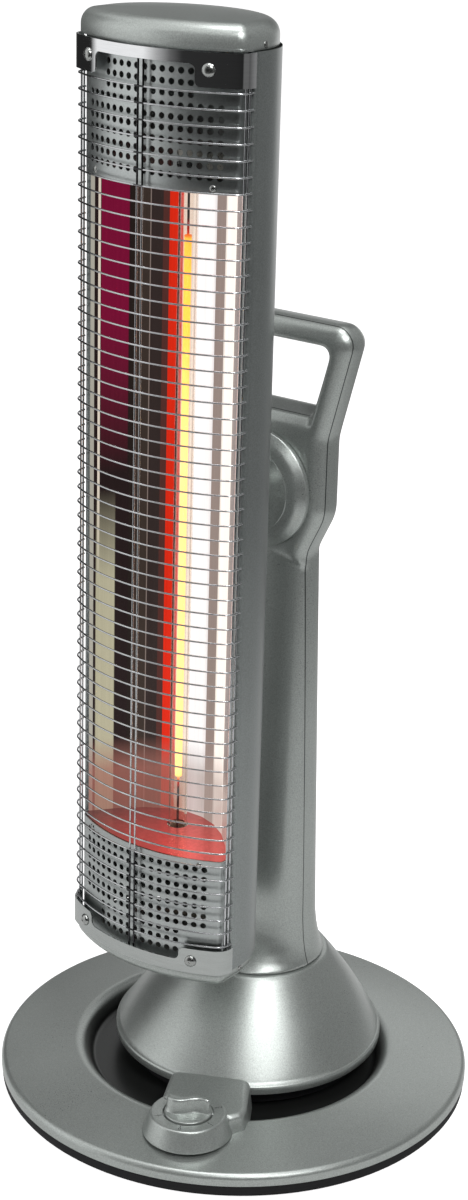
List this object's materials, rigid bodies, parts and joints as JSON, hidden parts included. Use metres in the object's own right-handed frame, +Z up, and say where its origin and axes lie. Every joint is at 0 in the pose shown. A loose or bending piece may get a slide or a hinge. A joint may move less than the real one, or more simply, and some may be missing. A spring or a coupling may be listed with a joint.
{
  "type": "infrared tower heater",
  "caption": "Tall infrared heater head with a wire grille and quartz tube, on a hollow pillar with a carrying handle, an offset cone and a round weighted stand.",
  "frame": {"origin": "on the floor, at the middle of the round stand, which is also the axis about which the tower swings", "axes": "+Z up; the heater head faces -Y; +X is at the head's left-hand side, seen by someone behind it"},
  "size_m": [0.32, 0.32, 0.723],
  "materials": {
    "silver_metal": "satin silver with a fine sparkle",
    "silver_shell": "satin silver paint on moulded plastic",
    "black_plastic": "fine black texture",
    "dark_steel": "plain dark coating",
    "bare_steel": "bare sheet and turned steel",
    "screw_steel": "plated",
    "chrome": "polished plating",
    "reflector_metal": "mirror polished in flat facets",
    "motor_case": "plain",
    "cast_iron": "rough black",
    "rubber": "matt",
    "terminal_plastic": "cream",
    "ceramic": "glazed white",
    "quartz": "clear",
    "carbon": "woven carbon, glowing when on"
  },
  "bodies": {
    "stand": {"base_plate": "silver_metal", "bottom_tray": "black_plastic", "rubber_feet": "rubber", "ballast_ring": "cast_iron", "control_bridge": "silver_shell", "selector_switch": "black_plastic", "pivot_post": "dark_steel", "thrust_washer": "bare_steel", "pivot_nut": "bare_steel", "oscillation_motor": "motor_case", "tip_switch": "black_plastic", "terminal_block": "terminal_plastic", "cord_gland": "black_plastic", "tray_screws": "screw_steel", "bridge_screws": "screw_steel"},
    "knob": {"selector_knob": "silver_shell"},
    "crank": {"crank_disc": "bare_steel"},
    "link": {"drive_link": "bare_steel"},
    "plunger": {"tip_plunger": "black_plastic"},
    "tower": {"turntable_plate": "dark_steel", "skirt_ring": "black_plastic", "cone_cover": "silver_shell", "pillar_tube": "dark_steel", "pillar_front_shell": "silver_shell", "pillar_rear_shell": "silver_shell", "swivel_socket": "dark_steel", "cone_screws": "screw_steel", "pillar_screws": "screw_steel"},
    "heater_head": {"rear_housing": "silver_metal", "top_cap": "silver_shell", "bottom_cap": "silver_shell", "upper_band": "chrome", "lower_band": "chrome", "upper_perforated_plate": "bare_steel", "lower_perforated_plate": "bare_steel", "upper_shelf": "reflector_metal", "lower_shelf": "reflector_metal", "reflector": "reflector_metal", "wire_grille": "chrome", "quartz_tube": "quartz", "carbon_filament": "carbon", "tube_holders": "ceramic", "holder_clips": "bare_steel", "hub_bracket": "dark_steel", "hub_neck": "silver_shell", "hub_disc": "silver_shell", "swivel_shaft": "bare_steel", "spring_washer": "bare_steel", "swivel_nut": "bare_steel", "band_screws": "screw_steel", "cap_screws": "screw_steel", "plate_screws": "screw_steel"}
  },
  "joints": [
    {"name": "oscillation", "type": "hinge", "parent": "stand", "child": "tower", "pos_m": [0, 0, 0], "axis": [0, 0, 1], "range_deg": [-12.5, 57.5]},
    {"name": "crank_turn", "type": "hinge", "parent": "stand", "child": "crank", "pos_m": [-0.0278, -0.02696, 0.028], "axis": [0, 0, 1], "range_deg": [-32.2, 147.9]},
    {"name": "link_turn", "type": "hinge", "parent": "tower", "child": "link", "pos_m": [0, -0.01569, 0.032], "axis": [0, 0, 1], "range_deg": [-57.6, 12.6]},
    {"name": "head_swivel", "type": "hinge", "parent": "tower", "child": "heater_head", "pos_m": [0, 0, 0.42], "axis": [0, 1, 0], "range_deg": [0, 90]},
    {"name": "knob_turn", "type": "hinge", "parent": "stand", "child": "knob", "pos_m": [0.04554, -0.10994, 0.035], "axis": [0, 0, 1], "range_deg": [0, 270]},
    {"name": "plunger_slide", "type": "slide", "parent": "stand", "child": "plunger", "axis": [0, 0, -1], "range_m": [0, 0.004], "stiffness_N_per_m": 60, "springref_m": 0.004}
  ],
  "couplings": [
    {"joint": "crank_turn", "follows": "oscillation", "ratio": 2.5714},
    {"joint": "link_turn", "follows": "oscillation", "ratio": -1}
  ]
}
